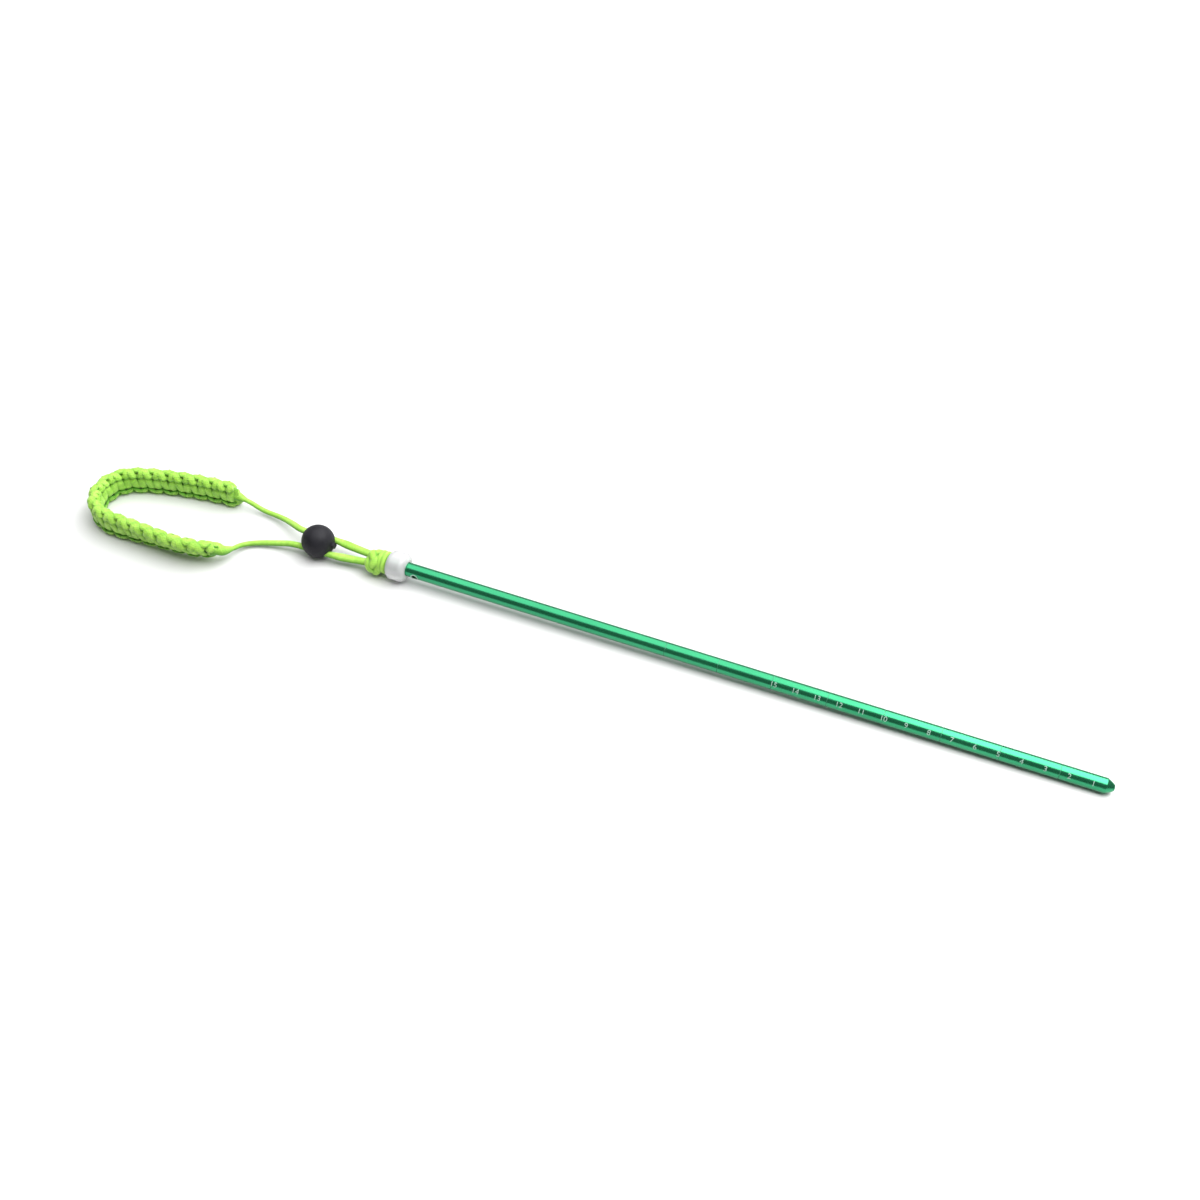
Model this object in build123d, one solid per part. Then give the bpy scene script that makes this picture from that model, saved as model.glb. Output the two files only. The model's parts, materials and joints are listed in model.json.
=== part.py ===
"""A diver's pointer stick: a graduated metal rod with a stop bead, and a wrist lanyard of braided cord.

Millimetres, +Z up. The part lies on the plane z = 0, on the bead and the rod's tip. +X runs along the
rod to its tip, and the origin is under the middle of the whole part.
"""
import math
import os

from build123d import *

# Rod. Places along it are measured back from the scale's zero, the point its tip cone would come to.
ROD_LENGTH = 350.0
ROD_R = 3.5
TIP_BLUNT = 2.5  # from the scale's zero to the blunt end
TIP_SHOULDER = 6.1  # from the scale's zero to the full radius
TIP_MIDDLE = (4.2, 2.5)  # a point on the nose's bulge: back from the zero, and radius
TIP_END_R = 1.3
TIP_END_FILLET = 0.9
BUTT_CHAMFER = 0.4
INCH = 25.4
RING_COUNT = 8  # one ring groove for each inch of the scale
RING_WIDTH = 0.35
RING_DEPTH = 0.18
SIDE_HOLE_AT = 330.8
SIDE_HOLE_R = 1.75
SIDE_HOLE_ROLL = 15.0  # how far the hole's near mouth is turned down round the rod
LANYARD_HOLE_AT = 349.6
LANYARD_HOLE_R = 1.6

# Stop bead, pushed on the rod between its two cross holes.
BEAD_NEAR = 335.8
BEAD_LENGTH = 10.0
BEAD_R = 7.2
BEAD_FILLET = 3.0
BEAD_SEAT_DEPTH = 0.2  # the rod is turned down under the bead, so that it stays in place
BEAD_GAP = 0.02

# The rod slopes a little, because the bead is thicker than the tip. SHIFT_X and SHIFT_Y carry the
# model from the middle of the rod to the middle of the whole part.
SHIFT_X = 79.2
SHIFT_Y = 8.0
ROD_MIDDLE = ROD_LENGTH / 2 + TIP_BLUNT - 1.5
BEAD_MIDDLE = BEAD_NEAR + BEAD_LENGTH / 2
ROD_TILT = math.degrees(math.asin((BEAD_R - ROD_R) / (BEAD_MIDDLE - TIP_SHOULDER)))
ZERO_HEIGHT = ROD_R - TIP_SHOULDER * math.sin(math.radians(ROD_TILT))

# Lanyard cord and the knot that closes it round the rod's end.
CORD_R = 1.5
KNOT_NEAR = 347.6
KNOT_LENGTH = 10.4
KNOT_R = 6.6
KNOT_FILLET = 2.6
KNOT_POCKET_R = 3.8
KNOT_POCKET_DEPTH = 5.6
STRAND_LENGTH = 6.9

# Spring lock on the two cords: a ball with a plunger in its underside. It lies rolled over a little, so
# that one cord is lower than the other. Its own sizes are given from the ball's middle, before the roll.
BALL_AT = (-208.8, -0.4, 8.3)
BALL_ROLL = 17.0
BALL_R = 8.2
BALL_FLAT = 6.2  # down to the flat underneath
CORD_HOLE_OUT = 4.1
CORD_HOLE_DOWN = 2.4
CORD_HOLE_R = 1.85
PLUNGER_BORE_R = 4.1
PLUNGER_BORE_TOP = 5.0
PLUNGER_R = 4.02
PLUNGER_TOP = 1.2
PLUNGER_BOTTOM = -7.4
PLUNGER_TRAVEL = 2.0
PLUNGER_FILLET = 0.5
NOTCH_GAP = 0.35
LIP_WIDTH = 2.6
LIP_OUT = 9.5
LIP_DOWN = -0.2
SPRING_COIL_R = 3.0
SPRING_WIRE_R = 0.25
SPRING_TURNS = 2

# Each cord from the knot, through the lock, to the woven band: route points, from the rod's middle.
FAR_FRONT = [(-182, 2.2, 7.2), (-190, 3.5, 6.3), (-200, 4.2, 7.1), (-209, 4.22, 7.2), (-218, 4.3, 7.15)]
NEAR_FRONT = [(-182, -1.9, 5.4), (-189, -2, 4.3), (-199.8, -3.6, 4.7), (-209, -3.62, 4.8), (-218, -3.7, 4.75)]
FAR_BACK = [
    (-218, 4.3, 7.15),
    (-221.6, 4.34, 7.13),
    (-228.5, 7.8, 5.5),
    (-238, 11.6, 3.2),
    (-249.5, 13.0, 2.4),
    (-256.5, 13.3, 5.6),
    (-261.4, 13.4, 6.6),
]
NEAR_BACK = [
    (-218, -3.7, 4.75),
    (-222, -3.74, 4.73),
    (-230.6, -4.5, 2.6),
    (-241.7, -7.9, 1.9),
    (-247.2, -12.6, 2.6),
    (-247.6, -18.4, 5.0),
    (-250.2, -21.9, 6.6),
]

# Woven band: a flat strap on its edge. Each station is x, y, lean of the strap's top away from the
# loop (degrees), width and thickness.
BAND_WIDTH = 15.0
BAND_THICK = 6.1
BAND_CORNER = 1.8
TAPER_STATIONS = 2  # how many stations before the last the near end starts to narrow
FAR_SIDE = [
    (-261.4, 13.3, 0, 13.0, 5.4),
    (-264.5, 13.3, 0, BAND_WIDTH, BAND_THICK),
    (-272.0, 13.0, 0, BAND_WIDTH, BAND_THICK),
    (-284.0, 11.9, 0, BAND_WIDTH, BAND_THICK),
    (-300.5, 9.2, 0, BAND_WIDTH, BAND_THICK),
    (-316.0, 5.2, 0, BAND_WIDTH, BAND_THICK),
]
BEND = [
    (-323.6, 1.3, 0, BAND_WIDTH, BAND_THICK),
    (-328.0, -4.9, 0, BAND_WIDTH, BAND_THICK),
    (-328.9, -11.7, 0, BAND_WIDTH, BAND_THICK),
    (-326.8, -18.5, 0, BAND_WIDTH, BAND_THICK),
    (-321.5, -23.7, 0, BAND_WIDTH, BAND_THICK),
    (-313.5, -26.6, 0, BAND_WIDTH, BAND_THICK),
]
NEAR_SIDE = [
    (-303.0, -27.2, 5, BAND_WIDTH, BAND_THICK),
    (-287.0, -27.5, 17, BAND_WIDTH, BAND_THICK),
    (-270.0, -27.4, 27, BAND_WIDTH, BAND_THICK),
    (-259.3, -25.9, 27, BAND_WIDTH, BAND_THICK),
    (-253.6, -23.7, 27, 13.5, 5.6),
    (-250.2, -21.9, 27, 9.5, 4.6),
]

SHIFT = Pos(SHIFT_X, SHIFT_Y, 0)
ON_ROD = SHIFT * Pos(ROD_MIDDLE, 0, ZERO_HEIGHT) * Rot(0, ROD_TILT, 0)


def sleeve(back, width, radius):
    """What a lathe takes off the rod between two planes, down to a radius."""
    ring = Cylinder(2 * ROD_R, width) - Cylinder(radius, width)
    return Pos(-back, 0, 0) * Rot(0, 90, 0) * ring


def cross_hole(back, radius, roll=0.0):
    """A round bar square across the rod, for drilling it from side to side."""
    return Pos(-back, 0, 0) * Rot(90 + roll, 0, 0) * Cylinder(radius, 4 * ROD_R)


def rod():
    """Round rod with a bullet nose, inch rings, a seat for the bead, a side hole and the lanyard's hole."""
    butt = ROD_LENGTH + TIP_BLUNT
    nose = ThreePointArc((-TIP_SHOULDER, ROD_R), (-TIP_MIDDLE[0], TIP_MIDDLE[1]), (-TIP_BLUNT, TIP_END_R))
    rest = Polyline(
        (-TIP_BLUNT, TIP_END_R),
        (-TIP_BLUNT, 0),
        (-butt, 0),
        (-butt, ROD_R - BUTT_CHAMFER),
        (BUTT_CHAMFER - butt, ROD_R),
        (-TIP_SHOULDER, ROD_R),
    )
    bar = revolve(make_face(nose + rest), Axis.X)
    tip_edges = bar.edges().filter_by(GeomType.CIRCLE).sort_by(Axis.X)
    bar = fillet(tip_edges[-1:], TIP_END_FILLET)
    for count in range(1, RING_COUNT + 1):
        bar -= sleeve(INCH * count, RING_WIDTH, ROD_R - RING_DEPTH)
    bar -= sleeve(BEAD_NEAR + BEAD_LENGTH / 2, BEAD_LENGTH, ROD_R - BEAD_SEAT_DEPTH)
    bar -= cross_hole(SIDE_HOLE_AT, SIDE_HOLE_R, SIDE_HOLE_ROLL)
    bar -= cross_hole(LANYARD_HOLE_AT, LANYARD_HOLE_R)
    return ON_ROD * bar


def end_bead():
    """Thick ring with well-rounded edges, pushed on the rod as a stop for the hand."""
    ring = Cylinder(BEAD_R, BEAD_LENGTH) - Cylinder(ROD_R - BEAD_SEAT_DEPTH + BEAD_GAP, BEAD_LENGTH)
    rims = ring.edges().filter_by(GeomType.CIRCLE).sort_by(SortBy.RADIUS)[-2:]
    ring = fillet(rims, BEAD_FILLET)
    return ON_ROD * Pos(-BEAD_MIDDLE, 0, 0) * Rot(0, 90, 0) * ring


def lanyard_knot():
    """The knot, drawn up over the rod's end: a rounded barrel with a pocket for the end."""
    knot = Cylinder(KNOT_R, KNOT_LENGTH)
    knot = fillet(knot.edges().filter_by(GeomType.CIRCLE), KNOT_FILLET)
    knot -= Pos(0, 0, KNOT_LENGTH / 2) * Cylinder(KNOT_POCKET_R, 2 * KNOT_POCKET_DEPTH)
    return ON_ROD * Pos(-KNOT_NEAR - KNOT_LENGTH / 2, 0, 0) * Rot(0, 90, 0) * knot


def lanyard_strand():
    """The lanyard's strand where it passes through the rod, inside the knot."""
    strand = Rot(90, 0, 0) * Cylinder(CORD_R, STRAND_LENGTH)
    return ON_ROD * Pos(-LANYARD_HOLE_AT, 0, 0) * strand


def at_ball(solid):
    """Put a solid built round the ball's middle in its place, rolled over."""
    return SHIFT * Pos(*BALL_AT) * Rot(BALL_ROLL, 0, 0) * solid


def lock_body():
    """Hollow ball, flat underneath, with two cord holes, the plunger's bore and a small side lip."""
    ball = Sphere(BALL_R)
    lip = Pos(LIP_OUT / 2, 0, -LIP_DOWN) * Box(LIP_OUT, LIP_WIDTH, LIP_WIDTH)
    lip = fillet(lip.edges().filter_by(Axis.X), LIP_WIDTH / 4)
    ball += lip
    ball -= Pos(0, 0, -BALL_FLAT - BALL_R) * Box(4 * BALL_R, 4 * BALL_R, 2 * BALL_R)
    depth = PLUNGER_BORE_TOP + BALL_R
    ball -= Pos(0, 0, PLUNGER_BORE_TOP - depth / 2) * Cylinder(PLUNGER_BORE_R, depth)
    for side in (-1, 1):
        hole = Rot(0, 90, 0) * Cylinder(CORD_HOLE_R, 4 * BALL_R)
        ball -= Pos(0, side * CORD_HOLE_OUT, -CORD_HOLE_DOWN) * hole
    return at_ball(ball)


def lock_plunger():
    """Round plunger with a notch each side for the cords; its button stands out of the ball's flat."""
    height = PLUNGER_TOP - PLUNGER_BOTTOM
    body = Pos(0, 0, PLUNGER_BOTTOM + height / 2) * Cylinder(PLUNGER_R, height)
    body = fillet(body.edges().sort_by(Axis.Z)[:1], PLUNGER_FILLET)
    notch_top = -CORD_HOLE_DOWN + CORD_R + NOTCH_GAP
    notch_bottom = -CORD_HOLE_DOWN - CORD_R - PLUNGER_TRAVEL - NOTCH_GAP
    notch_in = CORD_HOLE_OUT - CORD_R - NOTCH_GAP
    notch = Box(4 * PLUNGER_R, PLUNGER_R, notch_top - notch_bottom)
    for side in (-1, 1):
        middle = side * (notch_in + PLUNGER_R / 2)
        body -= Pos(0, middle, (notch_top + notch_bottom) / 2) * notch
    return at_ball(body)


def lock_spring():
    """Coil spring between the plunger's top and the roof of its bore."""
    low = PLUNGER_TOP + SPRING_WIRE_R
    height = PLUNGER_BORE_TOP - PLUNGER_TOP - 2 * SPRING_WIRE_R
    path = Helix(pitch=height / SPRING_TURNS, height=height, radius=SPRING_COIL_R)
    start = Plane(origin=path @ 0, z_dir=path % 0)
    coil = sweep(start * Circle(SPRING_WIRE_R), path=path, is_frenet=True)
    return at_ball(Pos(0, 0, low) * coil)


def cord(name, points):
    """A round cord along a route of straight runs joined by tangent arcs."""
    runs = [Vector(*b) - Vector(*a) for a, b in zip(points, points[1:])]
    radii = []
    for before, after in zip(runs, runs[1:]):
        half_turn = math.radians(before.get_angle(after)) / 2
        radii.append(0.45 * min(before.length, after.length) / math.tan(half_turn))
    route = FilletPolyline(*points, radius=radii)
    print(name, "arc radii:", [round(radius, 1) for radius in radii], "length:", round(route.length, 1))
    start = Plane(origin=route @ 0, z_dir=route % 0)
    tube = sweep(start * Circle(CORD_R), path=route)
    print(name, "volume against section x length:", round(tube.volume / (math.pi * CORD_R**2 * route.length), 4))
    return SHIFT * tube


def band_section(stations, index):
    """The strap's rounded cross-section at one station, square to the route there."""
    x, y, lean, width, thick = stations[index]
    before = stations[max(index - 1, 0)]
    after = stations[min(index + 1, len(stations) - 1)]
    along = Vector(after[0] - before[0], after[1] - before[1], 0)
    angle = math.radians(lean)
    height = BAND_WIDTH / 2 * math.cos(angle) + BAND_THICK / 2 * math.sin(angle)
    across = along.normalized().rotate(Axis.Z, 90)
    thick_dir = across * math.cos(angle) + Vector(0, 0, math.sin(angle))
    plane = Plane(origin=(x, y, height), x_dir=thick_dir, z_dir=along)
    return plane * RectangleRounded(thick, width, BAND_CORNER)


def band_part(first, last, straight=False):
    """One stretch of the strap, lofted through its stations."""
    stations = FAR_SIDE + BEND + NEAR_SIDE
    sections = [band_section(stations, index) for index in range(first, last + 1)]
    return SHIFT * loft(sections, ruled=straight)


def build():
    """Every piece of the part, by name."""
    bend_from = len(FAR_SIDE) - 1
    near_from = bend_from + len(BEND) + 1
    near_to = near_from + len(NEAR_SIDE) - 1
    taper_from = near_to - TAPER_STATIONS
    return {
        "rod": rod(),
        "end_bead": end_bead(),
        "lanyard_knot": lanyard_knot(),
        "lanyard_strand": lanyard_strand(),
        "lock_body": lock_body(),
        "lock_plunger": lock_plunger(),
        "lock_spring": lock_spring(),
        "leg_far_front": cord("leg_far_front", FAR_FRONT),
        "leg_near_front": cord("leg_near_front", NEAR_FRONT),
        "leg_far_back": cord("leg_far_back", FAR_BACK),
        "leg_near_back": cord("leg_near_back", NEAR_BACK),
        "band_far_side": band_part(0, 1, straight=True) + band_part(1, bend_from),
        "band_bend": band_part(bend_from, near_from),
        "band_near_side": band_part(near_from, taper_from) + band_part(taper_from, near_to, straight=True),
    }


os.makedirs("parts", exist_ok=True)
for node, shape in build().items():
    box = shape.bounding_box()
    low = [round(value, 2) for value in (box.min.X, box.min.Y, box.min.Z)]
    high = [round(value, 2) for value in (box.max.X, box.max.Y, box.max.Z)]
    print(node, low, high, "volume", round(shape.volume, 1), "valid", shape.is_valid)
    export_step(shape, f"parts/{node}.step")
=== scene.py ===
"""Looks of the diver's pointer stick: engraved rod, clear bead, knot, ball lock and woven wrist band."""
import json
import math

import bpy
import bmesh
import numpy as np
from mathutils import Matrix, Vector


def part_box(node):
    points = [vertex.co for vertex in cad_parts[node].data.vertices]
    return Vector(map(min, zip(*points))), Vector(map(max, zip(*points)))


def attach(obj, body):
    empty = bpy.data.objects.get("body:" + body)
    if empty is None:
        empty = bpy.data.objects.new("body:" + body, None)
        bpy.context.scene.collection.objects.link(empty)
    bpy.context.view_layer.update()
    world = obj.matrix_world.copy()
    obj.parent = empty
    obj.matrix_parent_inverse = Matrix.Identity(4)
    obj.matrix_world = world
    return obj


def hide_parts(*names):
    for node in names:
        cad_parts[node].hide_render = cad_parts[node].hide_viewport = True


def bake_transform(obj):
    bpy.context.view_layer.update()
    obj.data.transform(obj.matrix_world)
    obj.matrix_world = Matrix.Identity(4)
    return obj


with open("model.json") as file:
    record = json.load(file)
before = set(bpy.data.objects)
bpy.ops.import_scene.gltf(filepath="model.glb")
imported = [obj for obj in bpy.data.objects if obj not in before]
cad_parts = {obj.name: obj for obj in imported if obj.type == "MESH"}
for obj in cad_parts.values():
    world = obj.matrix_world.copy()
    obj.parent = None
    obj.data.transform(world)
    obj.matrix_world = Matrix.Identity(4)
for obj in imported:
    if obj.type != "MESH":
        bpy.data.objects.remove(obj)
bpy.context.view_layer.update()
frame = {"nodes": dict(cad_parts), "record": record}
MM = 0.001

# ---------------------------------------------------------------- the frame's own places
ROD_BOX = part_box("rod")
SHAFT = next(mount for mount in frame["record"]["mounts"] if mount["name"] == "shaft")
SIDE_HOLE = next(mount for mount in frame["record"]["mounts"] if mount["name"] == "side_hole")
ROD_R = SHAFT["dims"]["r_mm"] * MM
SIDE_HOLE_R = SIDE_HOLE["dims"]["r_mm"] * MM
ROD_DIR = Vector(SHAFT["axis"]).normalized()
ROD_SIDE = Vector((0, 1, 0))
ROD_UP = ROD_DIR.cross(ROD_SIDE)
SHIFT = Vector((0.0792, 0.008, 0.0))  # from the rod's middle to the model's origin, as in the CAD
TIP_BLUNT = 2.5 * MM
ROD_SLOPE = ROD_DIR.z / ROD_DIR.x
TIP_X = ROD_BOX[1][0]
TIP_END = Vector((TIP_X, SHIFT.y, SHAFT["pos_m"][2] + ROD_SLOPE * (TIP_X - SHAFT["pos_m"][0])))
SCALE_ZERO = TIP_END + ROD_DIR * TIP_BLUNT
RING_DEPTH = 0.18 * MM
RING_WIDTH = 0.35 * MM
INCH = 25.4 * MM
RINGS = 8
FIGURES = 15
SHEATH_CARRIERS = 8  # stitches of the sheath round the cord
STITCH = 0.95 * MM  # one stitch along the cord


def on_rod(back, side=0.0, up=0.0):
    """A point on the rod: metres back from the scale's zero, to its side and above its axis."""
    return SCALE_ZERO - ROD_DIR * back + ROD_SIDE * side + ROD_UP * up


def new_object(name, data):
    """An object with this data, in the scene."""
    made = bpy.data.objects.new(name, data)
    bpy.context.scene.collection.objects.link(made)
    return made


# ---------------------------------------------------------------- small node-tree helpers
def new_material(name):
    """A principled material, its shader, and functions that add a node and link two sockets."""
    material = bpy.data.materials.new(name)
    material.use_nodes = True
    tree = material.node_tree
    shader = tree.nodes["Principled BSDF"]

    def add(kind, inputs=(), **settings):
        node = tree.nodes.new(kind)
        for key, value in settings.items():
            setattr(node, key, value)
        for key, value in dict(inputs).items():
            if isinstance(value, bpy.types.NodeSocket):
                tree.links.new(value, node.inputs[key])
            else:
                node.inputs[key].default_value = value
        return node

    def link(out, socket):
        tree.links.new(out, socket)

    return material, shader, add, link


def ramp(add, value, stops):
    """A colour ramp through (position, colour) stops."""
    node = add("ShaderNodeValToRGB", {"Fac": value})
    elements = node.color_ramp.elements
    while len(elements) < len(stops):
        elements.new(0.5)
    for element, (place, colour) in zip(elements, stops):
        element.position = place
        element.color = (*colour, 1)
    return node.outputs["Color"]


# ---------------------------------------------------------------- materials
def rod_material():
    """Green anodised aluminium: satin, with fine drawing lines along it and slight tone changes."""
    material, shader, add, link = new_material("anodised_green")
    place = add("ShaderNodeTexCoord").outputs["Object"]
    lines = add("ShaderNodeMapping", {"Vector": place, "Scale": (60, 9000, 9000)})
    grain = add("ShaderNodeTexNoise", {"Vector": lines.outputs["Vector"], "Scale": 1.0, "Detail": 3})
    cloud = add("ShaderNodeTexNoise", {"Vector": place, "Scale": 45.0, "Detail": 2})
    tone = add("ShaderNodeMath", {0: grain.outputs["Fac"], 1: cloud.outputs["Fac"]}, operation="ADD")
    half = add("ShaderNodeMath", {0: tone.outputs["Value"], 1: 0.5}, operation="MULTIPLY")
    colour = ramp(add, half.outputs["Value"], [(0.3, (0.020, 0.24, 0.105)), (0.7, (0.032, 0.30, 0.135))])
    link(colour, shader.inputs["Base Color"])
    rough = add("ShaderNodeMapRange", {"Value": grain.outputs["Fac"], "To Min": 0.2, "To Max": 0.3})
    link(rough.outputs["Result"], shader.inputs["Roughness"])
    bump = add("ShaderNodeBump", {"Height": grain.outputs["Fac"], "Strength": 0.06, "Distance": 0.0001})
    link(bump.outputs["Normal"], shader.inputs["Normal"])
    shader.inputs["Metallic"].default_value = 0.9
    shader.inputs["Coat Weight"].default_value = 0.15
    shader.inputs["Coat Roughness"].default_value = 0.22
    return material


def figure_material():
    """Bare metal where the figures are cut through the anodising: pale, dull and a little broken."""
    material, shader, add, link = new_material("engraved_bare")
    place = add("ShaderNodeTexCoord").outputs["Object"]
    grain = add("ShaderNodeTexNoise", {"Vector": place, "Scale": 4000.0, "Detail": 4})
    colour = ramp(add, grain.outputs["Fac"], [(0.3, (0.22, 0.40, 0.31)), (0.65, (0.40, 0.56, 0.48))])
    link(colour, shader.inputs["Base Color"])
    bump = add("ShaderNodeBump", {"Height": grain.outputs["Fac"], "Strength": 0.2, "Distance": 0.00005})
    link(bump.outputs["Normal"], shader.inputs["Normal"])
    shader.inputs["Metallic"].default_value = 0.3
    shader.inputs["Roughness"].default_value = 0.55
    return material


def ring_material():
    """The bottom of a ring groove: thin, half-worn anodising, a little paler than the rod."""
    material, shader, add, link = new_material("groove_worn")
    place = add("ShaderNodeTexCoord").outputs["Object"]
    grain = add("ShaderNodeTexNoise", {"Vector": place, "Scale": 900.0, "Detail": 3})
    colour = ramp(add, grain.outputs["Fac"], [(0.35, (0.03, 0.21, 0.11)), (0.7, (0.09, 0.30, 0.19))])
    link(colour, shader.inputs["Base Color"])
    shader.inputs["Metallic"].default_value = 0.6
    shader.inputs["Roughness"].default_value = 0.5
    return material


def bead_material():
    """Clear moulded plastic, a little milky, with faint flow marks."""
    material, shader, add, link = new_material("clear_plastic")
    place = add("ShaderNodeTexCoord").outputs["Object"]
    flow = add("ShaderNodeTexNoise", {"Vector": place, "Scale": 160.0, "Detail": 3})
    colour = ramp(add, flow.outputs["Fac"], [(0.3, (0.74, 0.745, 0.75)), (0.7, (0.82, 0.82, 0.825))])
    link(colour, shader.inputs["Base Color"])
    bump = add("ShaderNodeBump", {"Height": flow.outputs["Fac"], "Strength": 0.05, "Distance": 0.0004})
    link(bump.outputs["Normal"], shader.inputs["Normal"])
    shader.inputs["Roughness"].default_value = 0.18
    shader.inputs["Transmission Weight"].default_value = 0.55
    shader.inputs["IOR"].default_value = 1.42
    return material


def lock_material():
    """Charcoal moulded plastic with a fine spark-eroded grain."""
    material, shader, add, link = new_material("charcoal_plastic")
    place = add("ShaderNodeTexCoord").outputs["Object"]
    grain = add("ShaderNodeTexNoise", {"Vector": place, "Scale": 2500.0, "Detail": 3})
    cloud = add("ShaderNodeTexNoise", {"Vector": place, "Scale": 220.0, "Detail": 2})
    colour = ramp(add, cloud.outputs["Fac"], [(0.3, (0.010, 0.010, 0.013)), (0.7, (0.017, 0.0165, 0.021))])
    link(colour, shader.inputs["Base Color"])
    rough = add("ShaderNodeMapRange", {"Value": cloud.outputs["Fac"], "To Min": 0.5, "To Max": 0.62})
    link(rough.outputs["Result"], shader.inputs["Roughness"])
    bump = add("ShaderNodeBump", {"Height": grain.outputs["Fac"], "Strength": 0.35, "Distance": 0.00008})
    link(bump.outputs["Normal"], shader.inputs["Normal"])
    shader.inputs["Specular IOR Level"].default_value = 0.2
    return material


def steel_material():
    """Bright drawn spring wire."""
    material, shader, add, link = new_material("spring_wire")
    place = add("ShaderNodeTexCoord").outputs["Object"]
    grain = add("ShaderNodeTexNoise", {"Vector": place, "Scale": 3000.0})
    rough = add("ShaderNodeMapRange", {"Value": grain.outputs["Fac"], "To Min": 0.2, "To Max": 0.35})
    link(rough.outputs["Result"], shader.inputs["Roughness"])
    shader.inputs["Base Color"].default_value = (0.6, 0.6, 0.62, 1)
    shader.inputs["Metallic"].default_value = 1.0
    return material


def cord_material():
    """Lime braided nylon with painted shade: paler on its outward side than on its flanks, and darker in the
    dips between stitches, by mixing a lit and a shaded copy of the lime. UV runs in sheath stitches: u along
    the cord, and v from its outward side once round, counted in carriers."""
    material, shader, add, link = new_material("braided_lime")
    uv = add("ShaderNodeTexCoord").outputs["UV"]
    split = add("ShaderNodeSeparateXYZ", {"Vector": uv})

    def lay(sign):
        """A set of parallel strands that climb round the cord one way."""
        turned = add("ShaderNodeMath", {0: split.outputs["Y"], 1: sign}, operation="MULTIPLY")
        both = add("ShaderNodeMath", {0: split.outputs["X"], 1: turned.outputs["Value"]}, operation="ADD")
        turn = add("ShaderNodeMath", {0: both.outputs["Value"], 1: math.tau}, operation="MULTIPLY")
        return add("ShaderNodeMath", {0: turn.outputs["Value"]}, operation="COSINE").outputs["Value"]

    over = add("ShaderNodeMath", {0: lay(1.0), 1: lay(-1.0)}, operation="MAXIMUM")
    height = add("ShaderNodeMapRange", {"Value": over.outputs["Value"], "From Min": -0.4, "From Max": 1.0})
    one_carrier = math.tau / SHEATH_CARRIERS
    around = add("ShaderNodeMath", {0: split.outputs["Y"], 1: one_carrier}, operation="MULTIPLY")
    facing = add("ShaderNodeMath", {0: around.outputs["Value"]}, operation="COSINE")
    # painted shade: the flanks, turned away from the outward side, darker than the top of the cord
    painted_crown_light = add("ShaderNodeMapRange", {"Value": facing.outputs["Value"], "From Min": -0.1, "From Max": 1.0})
    place = add("ShaderNodeTexCoord").outputs["Object"]
    mottle = add("ShaderNodeTexNoise", {"Vector": place, "Scale": 420.0, "Detail": 2})
    patchy = add("ShaderNodeMapRange", {"Value": mottle.outputs["Fac"], "From Min": 0.3, "From Max": 0.7})
    uneven = add("ShaderNodeMath", {0: patchy.outputs["Result"], 1: 0.35}, operation="MULTIPLY")
    # painted shade: the dips between the stitches darker than their tops
    painted_stitch_shade = add("ShaderNodeMath", {0: height.outputs["Result"], 1: 0.3}, operation="MULTIPLY")
    parts = {0: uneven.outputs["Value"], 1: painted_stitch_shade.outputs["Value"]}
    detail = add("ShaderNodeMath", parts, operation="ADD")
    lit = add("ShaderNodeMath", {0: detail.outputs["Value"], 1: 0.42}, operation="ADD")
    tone = add("ShaderNodeMath", {0: lit.outputs["Value"], 1: painted_crown_light.outputs["Result"]}, operation="MULTIPLY")
    cloud = add("ShaderNodeTexNoise", {"Vector": place, "Scale": 120.0, "Detail": 3})
    # a shaded and a lit copy of the lime, mixed by the painted shade
    shaded_lime = ramp(add, cloud.outputs["Fac"], [(0.3, (0.07, 0.27, 0.008)), (0.7, (0.11, 0.35, 0.014))])
    lit_lime = ramp(add, cloud.outputs["Fac"], [(0.3, (0.36, 0.68, 0.065)), (0.7, (0.46, 0.80, 0.115))])
    mixed = add("ShaderNodeMix", data_type="RGBA")
    link(tone.outputs["Value"], mixed.inputs[0])
    link(shaded_lime, mixed.inputs[6])
    link(lit_lime, mixed.inputs[7])
    link(mixed.outputs[2], shader.inputs["Base Color"])
    fuzz = add("ShaderNodeTexNoise", {"Vector": place, "Scale": 6000.0, "Detail": 2})
    heights = {0: fuzz.outputs["Fac"], 1: 0.25, 2: height.outputs["Result"]}
    total = add("ShaderNodeMath", heights, operation="MULTIPLY_ADD")
    bump = add("ShaderNodeBump", {"Height": total.outputs["Value"], "Strength": 0.6, "Distance": 0.00016})
    link(bump.outputs["Normal"], shader.inputs["Normal"])
    shader.inputs["Roughness"].default_value = 0.62
    shader.inputs["Sheen Weight"].default_value = 0.2
    shader.inputs["Sheen Roughness"].default_value = 0.4
    shader.inputs["Subsurface Weight"].default_value = 0.15
    shader.inputs["Subsurface Radius"].default_value = (0.0008, 0.0012, 0.0003)
    return material


MATERIALS = {
    "rod": rod_material(),
    "figure": figure_material(),
    "ring": ring_material(),
    "bead": bead_material(),
    "lock": lock_material(),
    "steel": steel_material(),
    "cord": cord_material(),
}


def finish_cad(node, material):
    """Give a CAD node its finish."""
    mesh = frame["nodes"][node].data
    mesh.materials.clear()
    mesh.materials.append(material)


# ---------------------------------------------------------------- tubes
ROUND = 16  # sides of a tube


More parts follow.
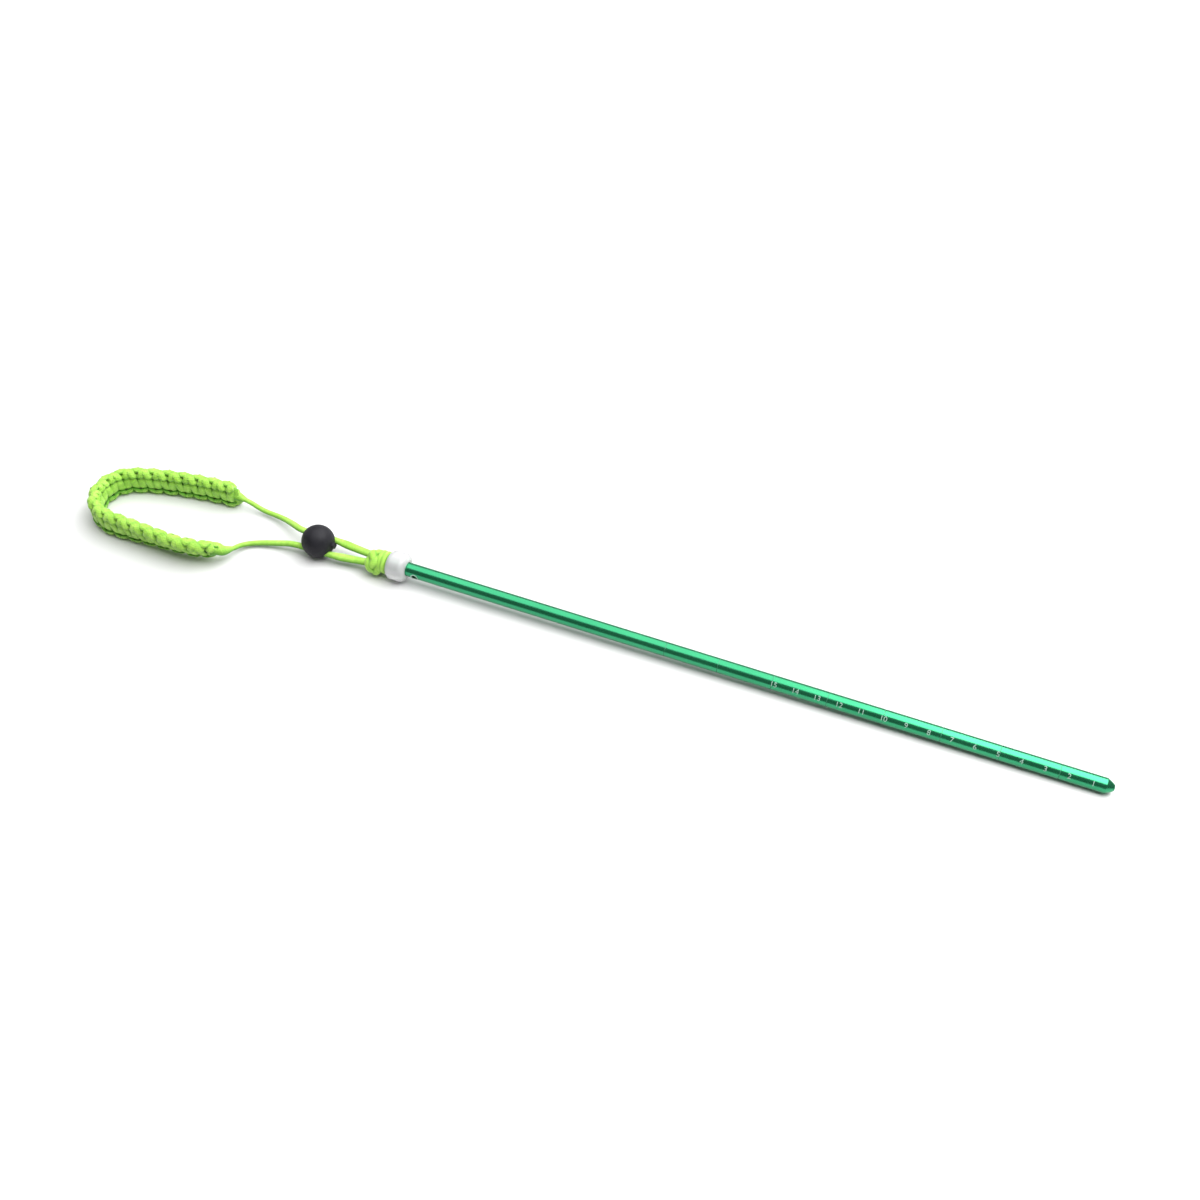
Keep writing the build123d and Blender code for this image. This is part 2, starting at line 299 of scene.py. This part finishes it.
def smooth_line(points, step):
    """Points close together on a smooth curve through the given ones (centripetal Catmull-Rom)."""
    points = [np.array(p, float) for p in points]
    points = [2 * points[0] - points[1]] + points + [2 * points[-1] - points[-2]]
    line = []
    for a, b, c, d in zip(points, points[1:], points[2:], points[3:]):
        count = max(2, int(np.linalg.norm(c[:3] - b[:3]) / step))
        t1 = max(np.linalg.norm(b[:3] - a[:3]), 1e-9) ** 0.5
        t2 = t1 + max(np.linalg.norm(c[:3] - b[:3]), 1e-9) ** 0.5
        t3 = t2 + max(np.linalg.norm(d[:3] - c[:3]), 1e-9) ** 0.5
        for t in np.linspace(t1, t2, count, endpoint=False):
            a1 = a * (t1 - t) / t1 + b * t / t1
            a2 = b * (t2 - t) / (t2 - t1) + c * (t - t1) / (t2 - t1)
            a3 = c * (t3 - t) / (t3 - t2) + d * (t - t2) / (t3 - t2)
            b1 = a1 * (t2 - t) / t2 + a2 * t / t2
            b2 = a2 * (t3 - t) / (t3 - t1) + a3 * (t - t1) / (t3 - t1)
            line.append(b1 * (t2 - t) / (t2 - t1) + b2 * (t - t1) / (t2 - t1))
    line.append(points[-2])
    return np.array(line)


def unit(vectors):
    """Each row at length one."""
    return vectors / np.maximum(np.linalg.norm(vectors, axis=-1, keepdims=True), 1e-12)


def tube(name, line, outward, thick, wide, closed=False):
    """A cord's mesh along line. outward points away from what it lies on; thick and wide are its half
    sizes along outward and across it, one for each point."""
    count = len(line)
    if closed:
        tangent = unit(np.roll(line, -1, axis=0) - np.roll(line, 1, axis=0))
    else:
        tangent = unit(np.gradient(line, axis=0))
    first = unit(outward - np.sum(outward * tangent, axis=1, keepdims=True) * tangent)
    second = np.cross(tangent, first)
    turn = np.linspace(0, math.tau, ROUND, endpoint=False)
    rings = (
        line[:, None, :]
        + first[:, None, :] * (np.cos(turn)[None, :, None] * np.asarray(thick)[:, None, None])
        + second[:, None, :] * (np.sin(turn)[None, :, None] * np.asarray(wide)[:, None, None])
    )
    verts = [tuple(v) for v in rings.reshape(-1, 3)]
    faces = []
    spans = count if closed else count - 1
    for i in range(spans):
        j = (i + 1) % count
        for k in range(ROUND):
            m = (k + 1) % ROUND
            faces.append((i * ROUND + k, i * ROUND + m, j * ROUND + m, j * ROUND + k))
    if not closed:
        faces.append(tuple(range(ROUND - 1, -1, -1)))
        faces.append(tuple((count - 1) * ROUND + k for k in range(ROUND)))
    mesh = bpy.data.meshes.new(name)
    mesh.from_pydata(verts, [], faces)
    steps = np.linalg.norm(np.diff(line, axis=0), axis=1)
    along = np.concatenate([[0], np.cumsum(steps), [np.sum(steps) + STITCH]]) / STITCH
    # v counts round from the outward side, which the cord material paints lighter as a painted highlight;
    # legs and ends use up as outward, so it lies on their tops
    layer = mesh.uv_layers.new(name="UVMap")
    for index, face in enumerate(mesh.polygons[: spans * ROUND]):
        i, k = divmod(index, ROUND)
        corners = [(i, k), (i, k + 1), (i + 1, k + 1), (i + 1, k)]
        for loop, (ring, side) in zip(face.loop_indices, corners):
            layer.data[loop].uv = (along[ring], side / ROUND * SHEATH_CARRIERS)
    mesh.shade_smooth()
    mesh.materials.append(MATERIALS["cord"])
    return new_object(name, mesh)


# ---------------------------------------------------------------- the lanyard's legs
CORD_R = 1.5 * MM
ROUTE_STEPS = 24  # points of a leg's line between two route points
# Each leg's route points, in mm from the rod's middle.
FAR_FRONT = [(-182, 2.2, 7.2), (-190, 3.5, 6.3), (-200, 4.2, 7.1), (-209, 4.22, 7.2), (-218, 4.3, 7.15)]
NEAR_FRONT = [
    (-182, -1.9, 5.4),
    (-189, -2, 4.3),
    (-199.8, -3.6, 4.7),
    (-209, -3.62, 4.8),
    (-218, -3.7, 4.75),
]
FAR_BACK = [
    (-218, 4.3, 7.15),
    (-221.6, 4.34, 7.13),
    (-228.5, 7.8, 5.5),
    (-238, 11.6, 3.2),
    (-249.5, 13.0, 2.4),
    (-256.5, 13.3, 5.6),
    (-261.4, 13.4, 6.6),
]
NEAR_BACK = [
    (-218, -3.7, 4.75),
    (-222, -3.74, 4.73),
    (-230.6, -4.5, 2.6),
    (-241.7, -7.9, 1.9),
    (-247.2, -12.6, 2.6),
    (-247.6, -18.4, 5.0),
    (-250.2, -21.9, 6.6),
]


def route(points):
    """A leg's centreline as a NURBS through its route points, in metres."""
    curve = bpy.data.curves.new("route", "CURVE")
    curve.dimensions = "3D"
    curve.resolution_u = ROUTE_STEPS
    spline = curve.splines.new("NURBS")
    spline.points.add(len(points) - 1)
    for point, place in zip(spline.points, points):
        point.co = (*(SHIFT + Vector(place) * MM), 1)
    spline.order_u = 3
    spline.use_endpoint_u = True
    holder = bpy.data.objects.new("route", curve)
    mesh = bpy.data.meshes.new_from_object(holder)
    line = np.array([vertex.co for vertex in mesh.vertices])
    bpy.data.objects.remove(holder)
    bpy.data.meshes.remove(mesh)
    bpy.data.curves.remove(curve)
    return line


# Half thickness and half width over the cord's radius, at shares of a leg's length.
FRONT_HALF = ((0.0, 1.0, 1.35), (0.35, 1.0, 1.5), (0.52, 1.0, 1.17), (1.0, 0.9, 1.15))
BACK_HALF = ((0.0, 0.9, 1.15), (0.25, 0.9, 1.12), (0.6, 0.8, 0.9), (1.0, 0.76, 0.84))


def leg(name, node, points, halves):
    """One leg of the lanyard, drawn through the lock."""
    line = route(points)
    count = len(line)
    up = np.tile((0.0, 0.0, 1.0), (count, 1))
    shares, thicks, wides = zip(*halves)
    thick = np.interp(np.linspace(0, 1, count), shares, thicks) * CORD_R
    wide = np.interp(np.linspace(0, 1, count), shares, wides) * CORD_R
    piece = tube(name, line, up, thick, wide)
    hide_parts(node)
    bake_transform(piece)


leg("leg_far_front_cord", "leg_far_front", FAR_FRONT, FRONT_HALF)
leg("leg_near_front_cord", "leg_near_front", NEAR_FRONT, FRONT_HALF)
leg("leg_far_back_cord", "leg_far_back", FAR_BACK, BACK_HALF)
leg("leg_near_back_cord", "leg_near_back", NEAR_BACK, BACK_HALF)


# ---------------------------------------------------------------- the woven band
PITCH = 4.1 * MM  # one half knot along the band
BAND_STATIONS = [  # x, y, height of the middle, lean of the top away from the loop, in mm and degrees
    (-261.4, 13.3, 7.5, 0),
    (-272.0, 13.0, 7.5, 0),
    (-284.0, 11.9, 7.5, 0),
    (-300.5, 9.2, 7.5, 0),
    (-316.0, 5.2, 7.5, 0),
    (-323.6, 1.3, 7.5, 0),
    (-328.0, -4.9, 7.5, 0),
    (-328.9, -11.7, 7.5, 0),
    (-326.8, -18.5, 7.5, 0),
    (-321.5, -23.7, 7.5, 0),
    (-313.5, -26.6, 7.5, 0),
    (-303.0, -27.2, 7.74, 5),
    (-287.0, -27.5, 8.06, 17),
    (-270.0, -27.4, 8.07, 27),
    (-259.3, -25.9, 8.07, 27),
    (-250.2, -21.9, 7.9, 27),
]
# One quarter of a working cord's path round the cores, from the band's edge to behind its middle:
# across (mm), through (mm), along (half knots), outward direction (across, through), half thickness
# and half width (mm).
EDGE_OUT = (6.3, 0.7, 0.0, (1.0, 0.1), 1.05, 2.3)
EDGE_FRONT = (5.2, 1.8, 0.5, (0.7, 0.7), 1.1, 2.25)
DIVE = (3.6, 0.0, 0.75, (1.0, 0.0), 1.4, 1.5)
BEHIND_SIDE = (2.0, -2.1, 0.62, (0.3, -0.95), 0.95, 2.15)
BEHIND = (0.0, -2.25, 0.5, (0.0, -1.0), 0.9, 2.3)

CORE_ACROSS = 2.4  # each core's place from the band's middle, in mm
CORE_THICK = 1.45 * MM
CORE_WIDE = 2.9 * MM
END_INSIDE = 5.5 * MM  # how far a drawn-in end starts inside the band
FAR_END = (2.0 * MM, 2.6 * MM)  # how far along the leg an end reaches, and its half size inside the band
NEAR_END = (5.0 * MM, 3.3 * MM)
END_TIP = 1.2 * MM  # its half size at its tip
DRAWN_FAR = ((0.0, 0.85), (4.0, 1.0))  # mm from the far end, and the share of its width that the weave has
DRAWN_NEAR = ((-12.0, 1.0), (0.0, 0.62))  # the same from the near end
END_SWELL = 1.6  # over 1, the end stays thick longer before it tapers
END_FLAT = 1.1  # a drawn-in end's width over its thickness
BAND_STEP = 0.4  # mm between the points of the band's centreline
WORKING_STEP = 0.45  # mm between the points of a working cord


def half_knot(count, side):
    """A working cord's key points over one half knot: from one edge, behind the cores, to the other."""
    keys = [(row, side, row[2]) for row in (EDGE_OUT, EDGE_FRONT, DIVE, BEHIND_SIDE, BEHIND)]
    keys += [(row, -side, 1 - row[2]) for row in (BEHIND_SIDE, DIVE, EDGE_FRONT)]
    out = []
    for (x, z, _, (hx, hz), thick, wide), sign, along in keys:
        out.append((x * sign, z, count + along, hx * sign, hz, thick, wide))
    return out


def band_line():
    """The band's centreline: places, width and inward directions, and how far along each is, in mm."""
    line = smooth_line(BAND_STATIONS, BAND_STEP)
    place = line[:, :3]
    tangent = unit(np.gradient(place, axis=0) * (1, 1, 0))
    level = np.stack([-tangent[:, 1], tangent[:, 0], np.zeros(len(line))], axis=1)
    lean = np.radians(line[:, 3:4])
    up = np.array([0, 0, 1.0])
    inward = level * np.cos(lean) + up * np.sin(lean)
    width = -level * np.sin(lean) + up * np.cos(lean)
    steps = np.linalg.norm(np.diff(place, axis=0), axis=1)
    return place, width, inward, np.concatenate([[0], np.cumsum(steps)])


BAND = band_line()
BAND_RUN = BAND[3][-1]  # the whole length, in mm


def on_band(across, through, along):
    """World places for points given across, through and along the band, in mm; and its directions."""
    place, width, inward, run = BAND
    along = np.clip(along, 0, run[-1])

    def pick(values):
        return np.stack([np.interp(along, run, values[:, axis]) for axis in range(3)], axis=1)

    wide = unit(pick(width))
    thin = unit(pick(inward))
    middle = pick(place)
    points = middle + wide * across[:, None] + thin * through[:, None]
    return (points + np.array(SHIFT) / MM) * MM, wide, thin


def working_cord(name, mirror):
    """One of the two cords woven round the cores. mirror turns it to the other edge and the other face."""
    knots = int(BAND_RUN * MM / PITCH) - 1
    start = (BAND_RUN * MM - knots * PITCH) / 2 / MM
    keys = []
    side = 1
    for count in range(knots):
        keys += half_knot(count, side)
        side = -side
    keys.append((EDGE_OUT[0] * side, EDGE_OUT[1], knots, side, EDGE_OUT[3][1], EDGE_OUT[4], EDGE_OUT[5]))
    keys = np.array(keys, float)
    keys[:, 2] = keys[:, 2] * PITCH / MM
    across, through, along, out_x, out_z, thick, wide = smooth_line(keys, WORKING_STEP).T
    across, through, out_x, out_z = (mirror * v for v in (across, through, out_x, out_z))
    narrow = drawn_in(along + start)
    across, through, wide = across * narrow, through * (1 + narrow) / 2, wide * (1 + narrow) / 2
    points, width, thin = on_band(across, through, along + start)
    outward = width * out_x[:, None] + thin * out_z[:, None]
    return tube(name, points, outward, thick * MM, wide * MM)


def core_cord(name, across):
    """One of the two straight cords inside the band."""
    along = np.arange(1.0, BAND_RUN - 1.0, 1.0)
    count = len(along)
    narrow = drawn_in(along)
    points, _, thin = on_band(across * narrow, np.zeros(count), along)
    return tube(name, points, thin, CORE_THICK * narrow, CORE_WIDE * narrow)


def drawn_in(along):
    """The share of its width that the weave has at each place along the band, given in mm."""
    stops = [*DRAWN_FAR, *((BAND_RUN + place, share) for place, share in DRAWN_NEAR)]
    places, shares = zip(*stops)
    return np.interp(along, places, shares)


def band_end(name, points, at, into, size):
    """The cords drawn together where a leg leaves the band: a short taper from inside it onto the leg."""
    inside = np.array([END_INSIDE, END_INSIDE / 2]) / MM * into + at
    start, _, _ = on_band(np.zeros(2), np.zeros(2), inside)
    line = route(points)
    back = np.linalg.norm(line - line[-1], axis=1)
    outside, half_inside = size
    on_leg = line[np.argmin(np.abs(back - outside))]
    path = smooth_line([start[0] / MM, start[1] / MM, line[-1] / MM, on_leg / MM], BAND_STEP) * MM
    share = np.linspace(0, 1, len(path)) ** END_SWELL
    half = half_inside * (1 - share) + END_TIP * share
    up = np.tile((0.0, 0.0, 1.0), (len(path), 1))
    return tube(name, path, up, half, half * END_FLAT)


def woven_band():
    """The whole band: two working cords, two cores and a drawn-in end at each leg."""
    pieces = [
        working_cord("band_weave_a", 1),
        working_cord("band_weave_b", -1),
        core_cord("band_core_upper", CORE_ACROSS),
        core_cord("band_core_lower", -CORE_ACROSS),
        band_end("band_end_far", FAR_BACK, 0.0, 1, FAR_END),
        band_end("band_end_near", NEAR_BACK, BAND_RUN, -1, NEAR_END),
    ]
    for piece in pieces:
        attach(piece, "stick")
    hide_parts("band_far_side", "band_bend", "band_near_side")


woven_band()


# ---------------------------------------------------------------- the knot
# The knot's middle: back from the scale's zero, to the rod's side and up. It sags a little.
KNOT_MIDDLE = (352.7 * MM, -0.8 * MM, -0.85 * MM)
KNOT_HALF = 2.6 * MM  # from the knot's middle to a bight's centreline
KNOT_LEADS = 3
KNOT_BIGHTS = 4
KNOT_R = 4.75 * MM
KNOT_WAIST = 1.3 * MM  # how much nearer the axis a bight is than the middle
KNOT_WEAVE = 0.75 * MM  # how far a strand swings out over and in under the next
KNOT_STRAND = (1.3 * MM, 2.0 * MM)  # half thickness and half width
KNOT_STEPS = 480  # points round the whole weave
KNOT_LEAN = 0.6  # how far a strand turns to face the knot's end at a bight
KNOT_CORE = (4.0 * MM, 3.6 * MM)  # half length and radius of the cords wrapped up inside
CORE_STEPS = 40
COLLAR_AT = (347.2 * MM, 349.5 * MM)  # two turns round the rod between the knot and the bead
COLLAR_R = 4.55 * MM
COLLAR_STRAND = (1.05 * MM, 1.35 * MM)
COLLAR_STEPS = 96
ROOT_OVER = 2  # how many points of the leg's own line its root lies over
ROOT_STEP = 0.4  # mm


def in_knot(along, side=0.0, up=0.0):
    """A point given from the knot's middle."""
    back, knot_side, knot_up = KNOT_MIDDLE
    return on_rod(back + along, knot_side + side, knot_up + up)


def knot_weave():
    """One flattened cord woven over and under itself into a tight ball."""
    t = np.linspace(0, math.tau, KNOT_STEPS, endpoint=False)
    height = -np.cos(KNOT_BIGHTS * t)
    angle = KNOT_LEADS * t
    swing = KNOT_WEAVE * np.sin(2 * KNOT_BIGHTS * t)
    body_r = KNOT_R - KNOT_WAIST * height**2 + swing
    points = []
    outward = []
    for h, a, r in zip(height, angle, body_r):
        points.append(in_knot(h * KNOT_HALF, math.cos(a) * r, math.sin(a) * r))
        outward.append(ROD_SIDE * math.cos(a) + ROD_UP * math.sin(a) - ROD_DIR * h * KNOT_LEAN)
    thick, wide = (np.full(len(t), half) for half in KNOT_STRAND)
    return tube("lanyard_knot_weave", np.array(points), np.array(outward), thick, wide, closed=True)


def knot_core():
    """The cords wrapped up inside the knot."""
    half, radius = KNOT_CORE
    run = np.linspace(-1, 1, CORE_STEPS)
    line = np.array([in_knot(x * half) for x in run])
    round_off = np.sqrt(np.maximum(1 - run**6, 0.02)) * radius
    up = np.tile(tuple(ROD_UP), (len(run), 1))
    return tube("lanyard_knot_core", line, up, round_off, round_off)


def knot_collar(name, back):
    """One turn of cord round the rod."""
    angles = np.linspace(0, math.tau, COLLAR_STEPS, endpoint=False)
    points = [on_rod(back, math.cos(a) * COLLAR_R, math.sin(a) * COLLAR_R) for a in angles]
    outward = [ROD_SIDE * math.cos(a) + ROD_UP * math.sin(a) for a in angles]
    thick, wide = (np.full(COLLAR_STEPS, half) for half in COLLAR_STRAND)
    return tube(name, np.array(points), np.array(outward), thick, wide, closed=True)


def knot_root(name, points):
    """Where a leg goes into the knot: from its first stretch back to the knot's middle."""
    line = route(points)
    path = smooth_line([np.array(in_knot(0.0)) / MM, line[0] / MM, line[ROOT_OVER] / MM], ROOT_STEP) * MM
    up = np.tile((0.0, 0.0, 1.0), (len(path), 1))
    _, thick, wide = FRONT_HALF[0]
    halves = (np.full(len(path), half * CORD_R) for half in (thick, wide))
    return tube(name, path, up, *halves)


def knot():
    """The lanyard knot, drawn up tight over the rod's end and against the bead."""
    pieces = [knot_weave(), knot_core()]
    pieces += [knot_root("lanyard_root_far", FAR_FRONT), knot_root("lanyard_root_near", NEAR_FRONT)]
    pieces += [knot_collar(f"lanyard_collar_{count}", back) for count, back in enumerate(COLLAR_AT, 1)]
    for piece in pieces:
        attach(piece, "stick")
    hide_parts("lanyard_knot")


knot()


# ---------------------------------------------------------------- the lock's spring
BALL_MIDDLE = SHIFT + Vector((-208.8, -0.4, 8.3)) * MM
BALL_ROLL = Matrix.Rotation(math.radians(17.0), 3, "X")
SPRING_LOW = 1.45 * MM  # its wire's lowest and highest centre, up from the ball's middle
SPRING_HIGH = 4.75 * MM
SPRING_COIL_R = 3.0 * MM
SPRING_WIRE_R = 0.25 * MM
SPRING_TURNS = 2
SPRING_STEPS = 48  # points to a turn


def spring():
    """The coil between the plunger and the roof of its bore."""
    share = np.linspace(0, 1, SPRING_STEPS * SPRING_TURNS + 1)
    points = []
    outward = []
    for part in share:
        angle = part * SPRING_TURNS * math.tau
        side = Vector((math.cos(angle), math.sin(angle), 0))
        rise = Vector((0, 0, SPRING_LOW + part * (SPRING_HIGH - SPRING_LOW)))
        points.append(BALL_MIDDLE + BALL_ROLL @ (side * SPRING_COIL_R + rise))
        outward.append(BALL_ROLL @ side)
    wire = np.full(len(share), SPRING_WIRE_R)
    piece = tube("lock_spring_coil", np.array(points), np.array(outward), wire, wire)
    piece.data.materials[0] = MATERIALS["steel"]
    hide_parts("lock_spring")
    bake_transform(piece)


spring()


# ---------------------------------------------------------------- figures on the rod
FIGURE_HEIGHT = 2.5 * MM
FIGURE_SHARE = 0.73  # a figure's height over its font's size
FIGURE_SLICES = 24  # cuts across a figure, so that it can follow the rod's curve
FIGURE_TURN = math.radians(35)  # from straight toward -Y, up round the rod, to the figures' middle
FIGURE_BACK = 1.45 * MM  # each figure's middle lies this far back from its centimetre
FIGURE_PROUD = 0.012 * MM
RING_PROUD = 0.02 * MM  # the band above its groove's floor
RING_FILL = 0.94  # its share of the groove's width
RING_SIDES = 96
RIM_SIDES = 64
RIM_STRAND = (0.09 * MM, 0.28 * MM)  # half thickness and half width


def figure(number):
    """A number lying on the rod's curved surface, read with the tip at the right."""
    curve = bpy.data.curves.new(f"figure_{number}", "FONT")
    curve.body = str(number)
    curve.size = FIGURE_HEIGHT / FIGURE_SHARE
    curve.align_x = "CENTER"
    curve.align_y = "CENTER"
    holder = bpy.data.objects.new(f"figure_{number}", curve)
    mesh = bpy.data.meshes.new_from_object(holder)
    bpy.data.objects.remove(holder)
    shape = bmesh.new()
    shape.from_mesh(mesh)
    for i in range(1, FIGURE_SLICES):
        level = (i / FIGURE_SLICES - 0.5) * 2 * FIGURE_HEIGHT
        everything = shape.verts[:] + shape.edges[:] + shape.faces[:]
        bmesh.ops.bisect_plane(shape, geom=everything, plane_co=(0, level, 0), plane_no=(0, 1, 0))
    back = 10 * number * MM + FIGURE_BACK
    radius = ROD_R + FIGURE_PROUD
    for vertex in shape.verts:
        turn = FIGURE_TURN + vertex.co.y / ROD_R
        side = -math.cos(turn) * radius
        up = math.sin(turn) * radius
        vertex.co = on_rod(back - vertex.co.x, side, up)
    shape.to_mesh(mesh)
    shape.free()
    mesh.materials.clear()
    mesh.materials.append(MATERIALS["figure"])
    piece = new_object(f"figure_{number}", mesh)
    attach(piece, "stick")


def ring(count):
    """The worn bottom of one inch groove: a thin flat band round the rod."""
    radius = ROD_R - RING_DEPTH + RING_PROUD
    verts = []
    for edge in (-0.5, 0.5):
        for turn in np.linspace(0, math.tau, RING_SIDES, endpoint=False):
            back = INCH * count + edge * RING_WIDTH * RING_FILL
            verts.append(on_rod(back, math.cos(turn) * radius, math.sin(turn) * radius))
    faces = []
    for here in range(RING_SIDES):
        after = (here + 1) % RING_SIDES
        faces.append((here, after, RING_SIDES + after, RING_SIDES + here))
    mesh = bpy.data.meshes.new(f"inch_ring_{count}")
    mesh.from_pydata([tuple(v) for v in verts], [], faces)
    mesh.shade_smooth()
    mesh.materials.append(MATERIALS["ring"])
    piece = new_object(f"inch_ring_{count}", mesh)
    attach(piece, "stick")


def hole_rim():
    """The bright broken edge round the side hole's near mouth."""
    axis = Vector(SIDE_HOLE["axis"])
    middle = math.atan2(axis.dot(ROD_UP), -axis.dot(ROD_SIDE))
    back = (SCALE_ZERO - Vector(SIDE_HOLE["pos_m"])).dot(ROD_DIR)
    points = []
    outward = []
    for angle in np.linspace(0, math.tau, RIM_SIDES, endpoint=False):
        turn = middle + math.asin(SIDE_HOLE_R / ROD_R * math.sin(angle))
        side, up = -math.cos(turn), math.sin(turn)
        points.append(on_rod(back + SIDE_HOLE_R * math.cos(angle), side * ROD_R, up * ROD_R))
        outward.append(ROD_SIDE * side + ROD_UP * up)
    thick, wide = (np.full(RIM_SIDES, half) for half in RIM_STRAND)
    piece = tube("side_hole_rim", np.array(points), np.array(outward), thick, wide, closed=True)
    piece.data.materials[0] = MATERIALS["figure"]
    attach(piece, "stick")


hole_rim()
for number in range(1, FIGURES + 1):
    figure(number)
for count in range(1, RINGS + 1):
    ring(count)

finish_cad("rod", MATERIALS["rod"])
finish_cad("end_bead", MATERIALS["bead"])
finish_cad("lock_body", MATERIALS["lock"])
finish_cad("lock_plunger", MATERIALS["lock"])
finish_cad("lanyard_strand", MATERIALS["cord"])


# ---------------------------------------------------------------- floor, light and camera
FLOOR_HALF = 4.0
SKY = 0.2
LIGHTS = (  # name, place, what it points at, size in metres and power in watts
    ("overhead", (0.2, 0.75, 1.0), (0.2, 0.7501, 0), (2.0, 2.3), 38),
    ("tip_side", (0.55, 0.6, 0.95), (0.55, 0.6001, 0), (0.9, 1.8), 20),
)
AIM = Vector((0.01032, 0.02962, 0.0))
DISTANCE = 0.6575
AZIMUTH = math.radians(22.914)
ELEVATION = math.radians(47.711)
ROLL = math.radians(0.85)
LENS = 41.33
SENSOR = 36
NEAREST = 0.01


def floor():
    """A plain pale floor under everything."""
    mesh = bpy.data.meshes.new("floor")
    corners = [(x * FLOOR_HALF, y * FLOOR_HALF, 0) for x, y in ((-1, -1), (1, -1), (1, 1), (-1, 1))]
    mesh.from_pydata(corners, [], [(0, 1, 2, 3)])
    material, shader, add, link = new_material("pale_floor")
    place = add("ShaderNodeTexCoord").outputs["Object"]
    cloud = add("ShaderNodeTexNoise", {"Vector": place, "Scale": 3.0})
    colour = ramp(add, cloud.outputs["Fac"], [(0.3, (0.68, 0.68, 0.68)), (0.7, (0.70, 0.70, 0.70))])
    link(colour, shader.inputs["Base Color"])
    shader.inputs["Roughness"].default_value = 0.9
    mesh.materials.append(material)
    new_object("floor", mesh)


def area_light(name, place, aim, size, power):
    """A soft rectangular light."""
    data = bpy.data.lights.new(name, "AREA")
    data.shape = "RECTANGLE"
    data.size, data.size_y = size
    data.energy = power
    lamp = new_object(name, data)
    lamp.location = place
    lamp.rotation_euler = (Vector(aim) - Vector(place)).to_track_quat("-Z", "Y").to_euler()


def lights():
    """A bright even studio: a large softbox overhead, a smaller one toward the tip, and a weak sky."""
    world = bpy.data.worlds.new("studio")
    world.use_nodes = True
    background = world.node_tree.nodes["Background"]
    background.inputs["Color"].default_value = (1, 1, 1, 1)
    background.inputs["Strength"].default_value = SKY
    bpy.context.scene.world = world
    for light in LIGHTS:
        area_light(*light)


def camera():
    """The camera, looking down on the stick from the front and its tip's side."""
    data = bpy.data.cameras.new("camera")
    data.lens = LENS
    data.sensor_width = SENSOR
    data.clip_start = NEAREST
    eye = new_object("camera", data)
    look = Vector(
        (
            -math.sin(AZIMUTH) * math.cos(ELEVATION),
            math.cos(AZIMUTH) * math.cos(ELEVATION),
            -math.sin(ELEVATION),
        )
    )
    turn = look.to_track_quat("-Z", "Y").to_matrix() @ Matrix.Rotation(-ROLL, 3, "Z")
    eye.matrix_world = Matrix.Translation(AIM - look * DISTANCE) @ turn.to_4x4()
    bpy.context.scene.camera = eye


floor()
lights()
camera()
bpy.context.scene.view_settings.view_transform = "Standard"
